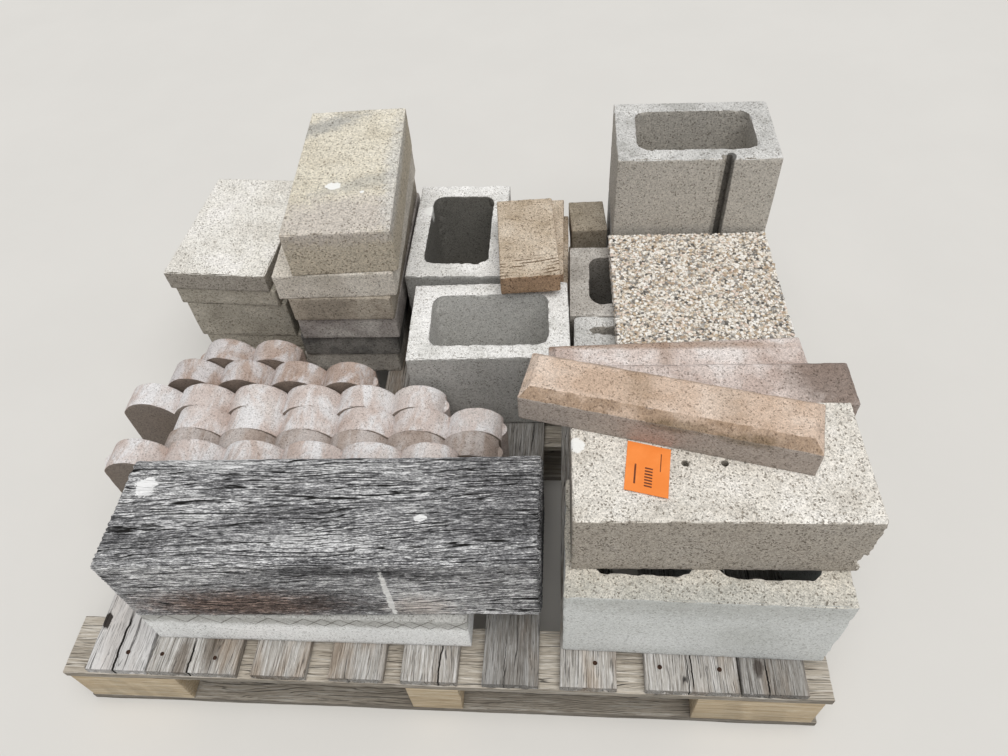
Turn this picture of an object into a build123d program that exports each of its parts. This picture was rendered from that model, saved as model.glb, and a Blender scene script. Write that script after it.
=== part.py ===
from build123d import *
from math import cos, radians, sin, tan
import os

# A pallet loaded with odd masonry: kerb stone and beam in front, six rows of
# scalloped edgers, two stacks of slabs, one-core blocks, pavers, long edgers.
# Millimetres. X runs along the pallet's front, Y from front to back, Z up.
# The origin is the middle of the pallet's underside.
# Places are given as x from the pallet's middle and y from its front edge.

# Pallet
pallet_length = 1219.2
pallet_depth = 1016.0
bottom_board_thickness = 16.0
block_height = 90.0
stringer_thickness = 16.0
deck_board_thickness = 16.0
cross_board_width = 95.0
block_depth = 95.0
left_block_width = 180.0
middle_block_width = 85.0
right_block_width = 192.0
middle_block_shift = -6.0
left_block_inset = 4.0
right_block_inset = 10.0
narrow_board = 87.0
fifth_board = 89.0
outer_board = 98.0
wide_board = 141.0
second_board = 145.0
board_widths = (outer_board, second_board, narrow_board, narrow_board, fifth_board, narrow_board, narrow_board,
                wide_board, outer_board)
# The gap on the left of each deck board, the first from the pallet's end
board_gaps = (45.6, 4.0, 25.0, 38.0, 28.0, 39.0, 33.0, 43.0, 4.0)

# Front right: a low block that starts the places of the right side
full_length = 397.0
full_width = 194.0
full_wall = 38.0
web = 32.0
lower_block_left = 200.0
lower_block_front = 58.0
lower_block_turn = -0.7
upper_block_height = 133.0
upper_block_shift = (11.0, 42.0)
upper_block_turn = 1.0
lift_hole_radius = 4.5
lift_hole_depth = 60.0
lift_hole_spacing = 53.0
lift_hole_shift = (-19.0, -7.0)

# Front left: kerb stone and beam
kerb_length = 513.0
kerb_depth = 186.0
kerb_height = 95.0
kerb_left = -457.0
kerb_front = 56.0
kerb_turn = 0.2
beam_length = 625.0
beam_depth = 178.0
beam_height = 165.0
beam_block_gap = 30.0
beam_overhang = 5.0
beam_turn = 2.0
beam_end_skew = 6.0
beam_arris = 9.0

# Scalloped edgers
hump_pitch = 101.6
hump_half_width = 46.0
hump_rise = 29.0
edger_height = 140.0
front_edger_height = 176.0
edger_thickness = 50.8
spur_radius = 16.0
spur_reach = 8.0
spur_clearance = 1.5
beam_edger_gap = 28.8
# Each row from the front: x of its left end, its number of humps, which end its spur is at, the gap
# in front of it, its turn and its height
edger_rows = ((-576.5, 6, "left", 0.0, 0.0, front_edger_height), (-513.2, 6, "right", 0.0, 0.0, edger_height),
              (-508.2, 6, "right", 0.0, 0.0, edger_height), (-616.7, 6, "right", 0.0, 0.0, edger_height),
              (-555.2, 4, "right", 12.6, -1.2, edger_height), (-507.2, 2, "left", 1.8, -1.5, edger_height))
long_rows = 4

# Slabs of the two stacks, each layer shifted from the lowest one
left_slab_width = 203.0
left_slab_depth = 305.0
left_slab_heights = (38.0, 38.0, 92.0, 41.0, 41.0)
left_stack_left = -549.0
left_stack_gap = 87.7
left_slab_shifts = ((0.0, 0.0), (4.0, -2.0), (-4.0, -4.0), (-12.0, -4.0), (-20.0, -6.0))
left_slab_turns = (-1.0, 0.0, -1.0, -3.0, -3.5)
cap_width = 194.0
cap_depth = 397.0
cap_height = 57.0
wide_cap_width = 222.0
stack_spacing = 13.0
cap_stack_gap = 50.7
cap_shifts = ((0.0, 0.0), (7.0, -6.0), (16.0, -13.0), (16.0, -20.0), (1.0, -21.0))
cap_turns = (0.5, 1.0, 0.7, 1.2, 2.5)
stone_height = 92.0
stone_shift = (40.0, -20.0)
stone_turn = 4.0

# One-core blocks
short_length = 295.0
short_width = 194.0
course_height = 194.0
end_wall = 38.0
side_wall = 32.0
core_radius = 24.0
core_draft = 4.0
middle_block_gap = (24.0, 14.8)
turned_block_shift = 32.0
turned_block_gap = 13.3
turned_block_turn = 2.0
side_gap = 5.2
block_gap = 2.0
right_middle_shift = -8.0
right_back_shift = 77.0
right_back_gap = 9.0
groove_width = 18.0
groove_depth = 13.0
groove_place = 187.0
slot_length = 90.0
slot_width = 20.0
slot_depth = 120.0
slot_wall = 28.0

# Long chamfered edgers: two piles and a loose one across the upper block
long_edger_length = 406.0
long_edger_depth = 80.0
long_edger_height = 44.3
long_edger_chamfer = 10.0
near_layers = 3
near_shift = 5.0
near_gap = 1.5
near_turns = (1.0, 1.5, 1.3)
far_layers = 2
far_shift = -38.0
far_gap = 1.5
far_turns = (3.0, 3.2)
loose_edger_depth = 86.0
loose_edger_height = 61.0
loose_edger_chamfer = 12.0
loose_edger_shift = (-77.0, 166.4)
loose_edger_turn = -13.0

# Exposed aggregate slab
paving_side = 303.0
paving_height = 38.0
paving_shift = 73.0
paving_gap = 12.9
paving_turn = 1.2
sash_gap = 8.7

# Pavers
brown_paver_width = 112.0
brown_paver_depth = 232.0
brown_paver_height = 42.0
brown_paver_turns = (0.0, 0.0, 0.0, 0.0, 0.0, 5.0)
brown_paver_shifts = ((0.0, 0.0), (1.0, 0.0), (2.0, 0.0), (3.0, 1.0), (-7.0, 1.0), (-11.0, -57.0))
brown_paver_gap = 13.0
dark_paver_width = 74.0
dark_paver_depth = 98.0
dark_paver_height = 60.0
dark_paver_shifts = ((0.0, 0.0), (1.0, 3.0), (0.0, 1.0))
dark_paver_turns = (3.0, 2.0, 4.0)
dark_paver_gap = 10.0
dark_paver_setback = 67.0

# Broken edges
arris = 3.0
stone_arris = 4.0
paving_arris = 2.0
paver_arris = 5.0

MIN3 = (Align.MIN, Align.MIN, Align.MIN)
stringer_base = bottom_board_thickness + block_height
deck_base = stringer_base + stringer_thickness
deck_top = deck_base + deck_board_thickness
course_top = deck_top + course_height


def slab(length, depth, height, edge=arris):
    """A block with its corner edges broken, standing on z = 0."""
    return chamfer(Box(length, depth, height, align=MIN3).edges(), edge)


def laid(body, place, base, turn=0.0):
    """Sets a body down: x from the middle, y from the front, turned about its front left corner."""
    x, y = place
    return Pos(x, y - pallet_depth / 2, base) * Rot(0, 0, turn) * body


def shifted(place, shift):
    """A place moved along X and Y."""
    return place[0] + shift[0], place[1] + shift[1]


def right_end(place, length, depth, turn):
    """The largest x that a laid rectangle reaches."""
    return place[0] + length * cos(radians(turn)) + max(0.0, -depth * sin(radians(turn)))


def back_end(place, length, depth, turn):
    """The largest y that a laid rectangle reaches."""
    return place[1] + depth * cos(radians(turn)) + max(0.0, length * sin(radians(turn)))


def back_at(place, depth, turn, x):
    """The y of a laid rectangle's back edge at x."""
    return place[1] + depth / cos(radians(turn)) + (x - place[0]) * tan(radians(turn))


def save(name, *bodies):
    """Writes one node: a single solid, or like solids that don't touch."""
    node = bodies[0] if len(bodies) == 1 else Compound(children=list(bodies))
    export_step(node, f"parts/{name}.step")


def tapered_core(x, y, width, depth, height, radius=core_radius):
    """The tool that cuts one core, wider at the foot as it leaves the mould."""
    foot = Pos(x, y, 0) * RectangleRounded(width + core_draft, depth + core_draft, radius)
    head = Pos(x, y, height) * RectangleRounded(width, depth, radius)
    return loft([foot, head])


def one_core_block(across):
    """A one-core block; across lays its long side along X."""
    width, depth = (short_length, short_width) if across else (short_width, short_length)
    wall_x, wall_y = (end_wall, side_wall) if across else (side_wall, end_wall)
    core = tapered_core(width / 2, depth / 2, width - 2 * wall_x, depth - 2 * wall_y, course_height)
    return slab(width, depth, course_height) - core


def sash_block():
    """A one-core block laid across, with a window groove down its front."""
    groove = Pos(groove_place, 0, 0) * Box(groove_width, 2 * groove_depth, course_height,
                                           align=(Align.MIN, Align.CENTER, Align.MIN))
    return one_core_block(True) - groove


def slotted_block():
    """A short block with a lens-shaped slot near its back edge and no open core."""
    bulge = ThreePointArc((0, 0), (slot_length / 2, slot_width / 2), (slot_length, 0))
    dish = ThreePointArc((slot_length, 0), (slot_length / 2, -slot_width / 2), (0, 0))
    lens = extrude(make_face([bulge, dish]), slot_depth)
    place = Pos(slot_wall, short_length - side_wall - arris, course_height - slot_depth)
    return slab(short_width, short_length, course_height) - place * lens


def two_core_block():
    """A full block with two cores."""
    core_width = (full_length - 2 * full_wall - web) / 2
    body = slab(full_length, full_width, course_height)
    for middle in (full_wall + core_width / 2, full_length - full_wall - core_width / 2):
        body -= tapered_core(middle, full_width / 2, core_width, full_width - 2 * full_wall, course_height)
    return body


def solid_top_block():
    """A low full block with a closed top and two lifting holes."""
    body = slab(full_length, full_width, upper_block_height)
    hole = Cylinder(lift_hole_radius, lift_hole_depth, align=(Align.CENTER, Align.CENTER, Align.MAX))
    x, y = shifted((full_length / 2, full_width / 2), lift_hole_shift)
    for side in (-1, 1):
        body -= Pos(x + side * lift_hole_spacing / 2, y, upper_block_height) * hole
    return body


def edger_length(humps):
    """From the outer foot of the first hump to that of the last."""
    return (humps - 1) * hump_pitch + 2 * hump_half_width


def scalloped_edger(humps, spur_end, height):
    """A garden edger on its long edge: round humps, a spur at one end and a socket at the other."""
    foot = height - hump_rise
    length = edger_length(humps)
    lines = [Line((0, foot), (0, 0)), Line((0, 0), (length, 0)), Line((length, 0), (length, foot))]
    for hump in reversed(range(humps)):
        middle = hump * hump_pitch + hump_half_width
        right, left = middle + hump_half_width, middle - hump_half_width
        lines.append(ThreePointArc((right, foot), (middle, height), (left, foot)))
        if hump:
            lines.append(Line((left, foot), (left - hump_pitch + 2 * hump_half_width, foot)))
    body = extrude(Plane.XZ * make_face(lines), -edger_thickness)
    half = edger_thickness / 2
    spur = Cylinder(spur_radius, foot, align=(Align.CENTER, Align.CENTER, Align.MIN))
    socket = Cylinder(spur_radius + spur_clearance, height + foot)
    body += Pos(length - spur_radius + spur_reach, half, 0) * spur
    body -= Pos(-spur_radius + spur_reach, half, 0) * socket
    return body if spur_end == "right" else Pos(length, edger_thickness, 0) * Rot(0, 0, 180) * body


def long_edger(depth, height, bevel):
    """A long edger with wide chamfers along its top."""
    body = Box(long_edger_length, depth, height, align=MIN3)
    return chamfer(body.faces().sort_by(Axis.Z)[-1].edges(), bevel)


def beam_body():
    """A weathered square beam whose ends are sawn askew."""
    plan = Polyline((0, 0), (beam_length, 0), (beam_length + beam_end_skew, beam_depth),
                    (beam_end_skew, beam_depth), close=True)
    body = extrude(make_face(plan), beam_height)
    return chamfer(body.edges().group_by(Axis.Z)[-1], beam_arris)


os.makedirs("parts", exist_ok=True)

# Pallet: boards on the ground, nine blocks, cross boards, deck
cross_places = [0.0, (pallet_depth - cross_board_width) / 2, pallet_depth - cross_board_width]
half_length = pallet_length / 2
cross_board = Box(pallet_length, cross_board_width, bottom_board_thickness, align=MIN3)
save("bottom_boards", *[laid(cross_board, (-half_length, y), 0) for y in cross_places])
block_starts = (-half_length + left_block_inset, middle_block_shift - middle_block_width / 2,
                half_length - right_block_inset - right_block_width)
block_widths = (left_block_width, middle_block_width, right_block_width)
save("pallet_blocks", *[
    laid(Box(width, block_depth, block_height, align=MIN3), (x, y), bottom_board_thickness)
    for y in cross_places for x, width in zip(block_starts, block_widths)])
stringer_board = Box(pallet_length, cross_board_width, stringer_thickness, align=MIN3)
save("stringer_boards", *[laid(stringer_board, (-half_length, y), stringer_base) for y in cross_places])
deck_boards = []
board_left = -half_length
for gap, width in zip(board_gaps, board_widths):
    board_left += gap
    deck_boards.append(laid(Box(width, pallet_depth, deck_board_thickness, align=MIN3), (board_left, 0), deck_base))
    board_left += width
save("deck_boards", *deck_boards)

# Lower block with the upper one across its cores
lower_place = (lower_block_left, lower_block_front)
upper_place = shifted(lower_place, upper_block_shift)
upper_top = course_top + upper_block_height
save("lower_block", laid(two_core_block(), lower_place, deck_top, lower_block_turn))
save("upper_block", laid(solid_top_block(), upper_place, course_top, upper_block_turn))

# Kerb stone with the beam on it, the beam's right end beside the lower block
beam_left = lower_block_left - beam_block_gap - beam_length
beam_place = (beam_left, kerb_front - beam_overhang)
save("kerb_stone", laid(slab(kerb_length, kerb_depth, kerb_height, stone_arris), (kerb_left, kerb_front),
                        deck_top, kerb_turn))
save("timber_beam", laid(beam_body(), beam_place, deck_top + kerb_height, beam_turn))

# Rows of scalloped edgers, the front four face to face
rows_front = back_end(beam_place, beam_length, beam_depth, beam_turn) + beam_edger_gap
row_front = rows_front
for row, (start, humps, spur_end, gap, turn, height) in enumerate(edger_rows):
    save(f"scalloped_edger_{row + 1}", laid(scalloped_edger(humps, spur_end, height), (start, row_front + gap),
                                            deck_top, turn))
    row_front += edger_thickness + gap
rows_back = rows_front + len(edger_rows) * edger_thickness

# Left stack of slabs
left_stack = (left_stack_left, rows_back + left_stack_gap)
base = deck_top
for layer, height in enumerate(left_slab_heights):
    save(f"left_slab_{layer + 1}", laid(slab(left_slab_width, left_slab_depth, height),
                                        shifted(left_stack, left_slab_shifts[layer]), base, left_slab_turns[layer]))
    base += height

# Right stack: caps and a thick stone on top
cap_stack = (left_stack_left + left_slab_width + stack_spacing, rows_back + cap_stack_gap)
cap_count = len(cap_shifts)
for layer, shift in enumerate(cap_shifts):
    width = wide_cap_width if layer == cap_count - 1 else cap_width
    save(f"cap_slab_{layer + 1}", laid(slab(width, cap_depth, cap_height), shifted(cap_stack, shift),
                                       deck_top + layer * cap_height, cap_turns[layer]))
save("thick_stone", laid(slab(cap_width, cap_depth, stone_height, stone_arris), shifted(cap_stack, stone_shift),
                         deck_top + cap_count * cap_height, stone_turn))

# One-core blocks in the middle
middle_left = cap_stack[0] + cap_width + middle_block_gap[0]
turned_place = (middle_left + turned_block_shift, rows_front + long_rows * edger_thickness + turned_block_gap)
turned_back = back_end(turned_place, short_length, short_width, turned_block_turn)
save("turned_block", laid(one_core_block(True), turned_place, deck_top, turned_block_turn))
save("middle_block", laid(one_core_block(False), (middle_left, turned_back + middle_block_gap[1]), deck_top))

# Two piles of long edgers behind the upper block, and a loose one across it
near_left = upper_place[0] + near_shift
near_place = (near_left, back_at(upper_place, full_width, upper_block_turn, near_left) + near_gap)
far_left = near_left + far_shift
far_place = (far_left, back_at(near_place, long_edger_depth, max(near_turns), far_left) + far_gap)
far_back = back_end(far_place, long_edger_length, long_edger_depth, max(far_turns))
piled = long_edger(long_edger_depth, long_edger_height, long_edger_chamfer)
for layer in range(near_layers):
    save(f"near_edger_{layer + 1}", laid(piled, near_place, course_top + layer * long_edger_height,
                                         near_turns[layer]))
for layer in range(far_layers):
    save(f"far_edger_{layer + 1}", laid(piled, far_place, course_top + layer * long_edger_height,
                                        far_turns[layer]))
loose_base = max(upper_top, course_top + near_layers * long_edger_height)
save("loose_edger", laid(long_edger(loose_edger_depth, loose_edger_height, loose_edger_chamfer),
                         shifted(upper_place, loose_edger_shift), loose_base, loose_edger_turn))

# Paving slab behind the far pile, and the blocks that carry it, set from the back to the front
right_left = right_end(turned_place, short_length, short_width, turned_block_turn) + side_gap
paving_place = (right_left + paving_shift, far_back + paving_gap)
right_back_place = (right_left + right_back_shift,
                    back_end(paving_place, paving_side, paving_side, paving_turn) + sash_gap)
right_middle_place = (right_left + right_middle_shift, right_back_place[1] - right_back_gap - short_width)
right_front = right_middle_place[1] - block_gap - short_length
save("paving_slab", laid(slab(paving_side, paving_side, paving_height, paving_arris), paving_place,
                         course_top, paving_turn))
save("right_back_block", laid(one_core_block(True), right_back_place, deck_top))
save("sash_block", laid(sash_block(), right_back_place, course_top))
save("right_middle_block", laid(one_core_block(True), right_middle_place, deck_top))
save("slotted_block", laid(slotted_block(), (right_left, right_front), deck_top))
save("right_front_block", laid(one_core_block(False), (right_left + short_width + block_gap, right_front), deck_top))

# Brown pavers beside the middle block, the top one clear of the blocks, and dark ones behind
brown_place = (middle_left + short_width + brown_paver_gap, turned_back + block_gap)
brown = slab(brown_paver_width, brown_paver_depth, brown_paver_height, paver_arris)
for layer, shift in enumerate(brown_paver_shifts):
    base = deck_top + layer * brown_paver_height
    if layer == len(brown_paver_shifts) - 1:
        base = max(base, course_top)
    save(f"brown_paver_{layer + 1}", laid(brown, shifted(brown_place, shift), base, brown_paver_turns[layer]))
dark_place = (brown_place[0] + brown_paver_width + dark_paver_gap,
              right_middle_place[1] + short_width + dark_paver_setback)
dark = slab(dark_paver_width, dark_paver_depth, dark_paver_height, paver_arris)
for layer, shift in enumerate(dark_paver_shifts):
    save(f"dark_paver_{layer + 1}", laid(dark, shifted(dark_place, shift), deck_top + layer * dark_paver_height,
                                         dark_paver_turns[layer]))
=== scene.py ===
"""A loaded pallet of odd masonry: worn concrete, weathered boards and an old beam on a pale floor."""
import math
import random

import bmesh
import bpy
from mathutils import Matrix, Vector, noise


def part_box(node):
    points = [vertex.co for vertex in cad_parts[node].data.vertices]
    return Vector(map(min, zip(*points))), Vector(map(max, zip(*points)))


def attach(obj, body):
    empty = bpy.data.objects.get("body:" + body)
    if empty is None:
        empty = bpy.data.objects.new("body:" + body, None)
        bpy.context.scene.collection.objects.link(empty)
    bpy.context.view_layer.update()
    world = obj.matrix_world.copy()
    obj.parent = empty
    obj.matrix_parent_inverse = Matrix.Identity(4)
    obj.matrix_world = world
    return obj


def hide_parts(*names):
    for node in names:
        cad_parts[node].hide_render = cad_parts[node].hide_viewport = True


MM = 0.001
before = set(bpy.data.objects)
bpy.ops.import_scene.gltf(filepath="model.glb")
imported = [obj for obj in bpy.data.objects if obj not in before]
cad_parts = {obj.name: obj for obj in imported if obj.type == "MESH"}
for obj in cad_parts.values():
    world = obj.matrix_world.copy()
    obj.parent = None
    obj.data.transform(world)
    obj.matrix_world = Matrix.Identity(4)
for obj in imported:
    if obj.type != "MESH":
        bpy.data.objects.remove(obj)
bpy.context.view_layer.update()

# Colours and nodes

SMOOTH = {"interpolation_type": "SMOOTHSTEP"}
COVER = {"data_type": "RGBA"}
DARKEN = {"data_type": "RGBA", "blend_type": "MULTIPLY"}
TIMES = {"operation": "MULTIPLY"}
PLUS = {"operation": "ADD"}
MINUS = {"operation": "SUBTRACT"}


def srgb(code):
    """An sRGB hex colour as linear values."""
    values = [int(code[i:i + 2], 16) / 255 for i in (1, 3, 5)]
    return tuple(v / 12.92 if v <= 0.04045 else ((v + 0.055) / 1.055) ** 2.4 for v in values) + (1.0,)


def add(tree, kind, links, out=0, **settings):
    """Adds a node with its settings, gives its inputs values or sockets, and returns one output, or all."""
    made = tree.nodes.new("ShaderNode" + kind)
    for key, value in settings.items():
        setattr(made, key, value)
    for key, value in links.items():
        if isinstance(value, bpy.types.NodeSocket):
            tree.links.new(value, made.inputs[key])
        else:
            made.inputs[key].default_value = value
    return made.outputs if out is None else made.outputs[out]


def place_in(tree, scale=(1, 1, 1), offset=(0, 0, 0)):
    """Object coordinates, stretched and shifted."""
    coords = add(tree, "TexCoord", {}, "Object")
    return add(tree, "Mapping", {"Vector": coords, "Scale": scale, "Location": offset})


def new_material(name):
    """An empty material with its shader, for a dull mineral or wooden surface."""
    made = bpy.data.materials.new(name)
    made.use_nodes = True
    shader = made.node_tree.nodes["Principled BSDF"]
    shader.inputs["Specular IOR Level"].default_value = 0.25
    return made, made.node_tree, shader


def finish_material(tree, shader, colour, roughness, height, strength, depth):
    """Joins colour, roughness and a bump of a real depth in millimetres to the shader."""
    bump = add(tree, "Bump", {"Strength": strength, "Distance": depth * MM, "Height": height})
    for name, socket in (("Normal", bump), ("Base Color", colour), ("Roughness", roughness)):
        tree.links.new(socket, shader.inputs[name])


def spot(tree, middle, half, torn, soft, turn=(0, 0, 0)):
    """A spot's share: middle in metres, half sizes in mm, how torn (0 for a box), how soft, and its turn in
    degrees."""
    coords = place_in(tree)
    local = add(tree, "Mapping", {"Vector": coords, "Location": middle,
                                  "Rotation": tuple(math.radians(t) for t in turn),
                                  "Scale": tuple(h * MM for h in half)}, vector_type="TEXTURE")
    if not torn:
        folded = add(tree, "VectorMath", {0: local}, operation="ABSOLUTE")
        sides = add(tree, "SeparateXYZ", {0: folded}, None)
        wide = add(tree, "Math", {0: sides[0], 1: sides[1]}, operation="MAXIMUM")
        far = add(tree, "Math", {0: wide, 1: sides[2]}, operation="MAXIMUM")
        return add(tree, "MapRange", {0: far, 1: 1.0, 2: 1.0 - soft}, **SMOOTH)
    far = add(tree, "VectorMath", {0: local}, "Value", operation="LENGTH")
    ragged = add(tree, "TexNoise", {"Vector": coords, "Scale": 1 / (13 * MM), "Detail": 5.0,
                                    "Roughness": 0.7})
    ragged = add(tree, "Math", {0: ragged, 1: 0.5}, **MINUS)
    ragged = add(tree, "Math", {0: ragged, 1: torn}, **TIMES)
    far = add(tree, "Math", {0: far, 1: ragged}, **PLUS)
    return add(tree, "MapRange", {0: far, 1: 1.0 + soft, 2: 0.9 - soft}, **SMOOTH)


def marks_on(tree, colour, marks, way):
    """Stains and splashes, each a colour, an amount and a spot."""
    for code, amount, *place in marks:
        share = add(tree, "Math", {0: spot(tree, *place), 1: amount}, **TIMES)
        colour = add(tree, "Mix", {0: share, 6: colour, 7: srgb(code)}, 2, **way)
    return colour


def facing_share(tree, axis, low, high):
    """How much a face looks along one axis."""
    normal = add(tree, "SeparateXYZ", {0: add(tree, "NewGeometry", {}, "Normal")}, axis)
    return add(tree, "MapRange", {0: normal, 1: low, 2: high}, **SMOOTH)


def tinted(tree, colour, code, share, amount):
    """A colour with a tint laid over it where a share says so."""
    share = add(tree, "Math", {0: share, 1: amount}, **TIMES)
    return add(tree, "Mix", {0: share, 6: colour, 7: srgb(code)}, 2, **COVER)


def concrete(name, dark, mid, light, grit=2.8, speck=0.45, side_speck=None, pits=0.4, side=None,
             slope=None, bloom=None, marks=(), splashes=(), after=None):
    """Pressed or cast concrete: sand and fine gravel show as lighter and darker grains with open pits
    between them, over broad damp and dry patches. Grit is a grain's size in millimetres and speck how
    much the grains show. Side tints the upright or front faces, slope a bevel at the front, and bloom is
    lime on top. Marks lie under the grains and splashes over them."""
    made, tree, shader = new_material(name)
    where = place_in(tree)
    patches = add(tree, "TexNoise", {"Vector": where, "Scale": 1 / (80 * MM), "Detail": 4.0,
                                     "Roughness": 0.6})
    damp = add(tree, "MapRange", {0: patches, 1: 0.36, 2: 0.5}, **SMOOTH)
    dry = add(tree, "MapRange", {0: patches, 1: 0.5, 2: 0.66}, **SMOOTH)
    colour = add(tree, "Mix", {0: damp, 6: srgb(dark), 7: srgb(mid)}, 2, **COVER)
    colour = add(tree, "Mix", {0: dry, 6: colour, 7: srgb(light)}, 2, **COVER)
    if side:
        tint, amount, axis = side
        upright = facing_share(tree, "Z", 0.75, 0.3) if axis == "Z" else facing_share(tree, "Y", -0.75, -0.95)
        colour = tinted(tree, colour, tint, upright, amount)
    if slope:
        leaning = add(tree, "Math", {0: facing_share(tree, "Y", -0.3, -0.55),
                                     1: facing_share(tree, "Z", 0.4, 0.6)}, **TIMES)
        uneven = add(tree, "TexNoise", {"Vector": where, "Scale": 1 / (38 * MM), "Detail": 4.0,
                                        "Roughness": 0.6})
        uneven = add(tree, "MapRange", {0: uneven, 1: 0.35, 2: 0.6, 3: 0.3, 4: 0.9}, **SMOOTH)
        colour = tinted(tree, colour, slope, leaning, uneven)
    if bloom:
        tint, amount, size = bloom
        lime = add(tree, "TexNoise", {"Vector": place_in(tree, (1.0, 0.4, 1.0), (5.1, 0, 0)),
                                      "Scale": 1 / (size * MM), "Detail": 5.0, "Roughness": 0.62,
                                      "Distortion": 0.6})
        lime = add(tree, "MapRange", {0: lime, 1: 0.42, 2: 0.62, 3: 0.0, 4: amount}, **SMOOTH)
        colour = tinted(tree, colour, tint, facing_share(tree, "Z", 0.2, 0.8), lime)
    colour = marks_on(tree, colour, marks, COVER)
    if side_speck is not None:
        up = facing_share(tree, "Z", 0.3, 0.75)
        speck = add(tree, "MapRange", {0: up, 1: 0.0, 2: 1.0, 3: side_speck, 4: speck}, **SMOOTH)
    grains = add(tree, "TexVoronoi", {"Vector": where, "Scale": 1 / (grit * MM)}, "Color")
    shade = add(tree, "SeparateColor", {0: grains}, None)
    fine = add(tree, "TexNoise", {"Vector": where, "Scale": 1 / (grit * 0.8 * MM), "Detail": 4.0,
                                  "Roughness": 0.75})
    for value, low, high, darkest, brightest in ((shade[0], 0.0, 1.0, 0.72, 1.2),
                                                 (fine, 0.34, 0.52, 0.25, 1.12)):
        tone = add(tree, "MapRange", {0: value, 1: low, 2: high, 3: darkest, 4: brightest}, **SMOOTH)
        tone = add(tree, "CombineColor", {0: tone, 1: tone, 2: tone})
        colour = add(tree, "Mix", {0: speck, 6: colour, 7: tone}, 2, **DARKEN)
    dots = add(tree, "MapRange", {0: shade[1], 1: 0.86, 2: 0.94}, **SMOOTH)
    dots = add(tree, "Math", {0: dots, 1: speck}, **TIMES)
    colour = add(tree, "Mix", {0: dots, 6: colour, 7: srgb("#7B7266")}, 2, **DARKEN)
    holes = add(tree, "TexVoronoi", {"Vector": where, "Scale": 1 / (grit * 2.2 * MM)}, "Distance")
    holes = add(tree, "MapRange", {0: holes, 1: 0.3, 2: 0.12}, **SMOOTH)
    sparse = add(tree, "TexNoise", {"Vector": where, "Scale": 1 / (14 * MM), "Detail": 3.0,
                                    "Roughness": 0.55})
    sparse = add(tree, "MapRange", {0: sparse, 1: 0.47, 2: 0.6, 3: 0.0, 4: pits}, **SMOOTH)
    pit = add(tree, "Math", {0: holes, 1: sparse}, **TIMES)
    colour = tinted(tree, colour, "#4A443C", pit, 0.75)
    if after:
        colour = after(tree, colour)
    colour = marks_on(tree, colour, splashes, COVER)
    raised = add(tree, "Math", {0: shade[2], 1: 0.45}, **TIMES)
    height = add(tree, "Math", {0: fine, 1: raised}, **PLUS)
    sunk = add(tree, "Math", {0: pit, 1: 1.4}, **TIMES)
    height = add(tree, "Math", {0: height, 1: sunk}, **MINUS)
    rough = add(tree, "MapRange", {0: patches, 1: 0.3, 2: 0.7, 3: 0.86, 4: 0.96}, **SMOOTH)
    finish_material(tree, shader, colour, rough, height, 0.6, 1.4)
    return made


def end_splits(tree, colour, height, splits):
    """Dark splits that run in from a board's front end: each is x, start, end and half width in mm."""
    axes = add(tree, "SeparateXYZ", {0: place_in(tree)}, None)
    wander = add(tree, "TexNoise", {"Vector": place_in(tree, (0.2, 1.0, 0.2)), "Scale": 1 / (46 * MM),
                                    "Detail": 4.0, "Roughness": 0.65})
    wander = add(tree, "Math", {0: wander, 1: 0.5}, **MINUS)
    wander = add(tree, "Math", {0: wander, 1: 13 * MM}, **TIMES)
    line = add(tree, "Math", {0: axes["X"], 1: wander}, **PLUS)
    for x, start, end, width in splits:
        off = add(tree, "Math", {0: line, 1: x * MM}, **MINUS)
        off = add(tree, "Math", {0: off}, operation="ABSOLUTE")
        split = add(tree, "MapRange", {0: off, 1: width * MM, 2: width * MM * 0.35}, **SMOOTH)
        begun = add(tree, "MapRange", {0: axes["Y"], 1: (start - 6) * MM, 2: (start + 4) * MM}, **SMOOTH)
        going = add(tree, "MapRange", {0: axes["Y"], 1: (end + 10) * MM, 2: (end - 30) * MM}, **SMOOTH)
        for share in (begun, going):
            split = add(tree, "Math", {0: split, 1: share}, **TIMES)
        colour = add(tree, "Mix", {0: split, 6: colour, 7: srgb("#15110E")}, 2, **COVER)
        sunk = add(tree, "Math", {0: split, 1: 0.8}, **TIMES)
        height = add(tree, "Math", {0: height, 1: sunk}, **MINUS)
    return colour, height


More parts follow.
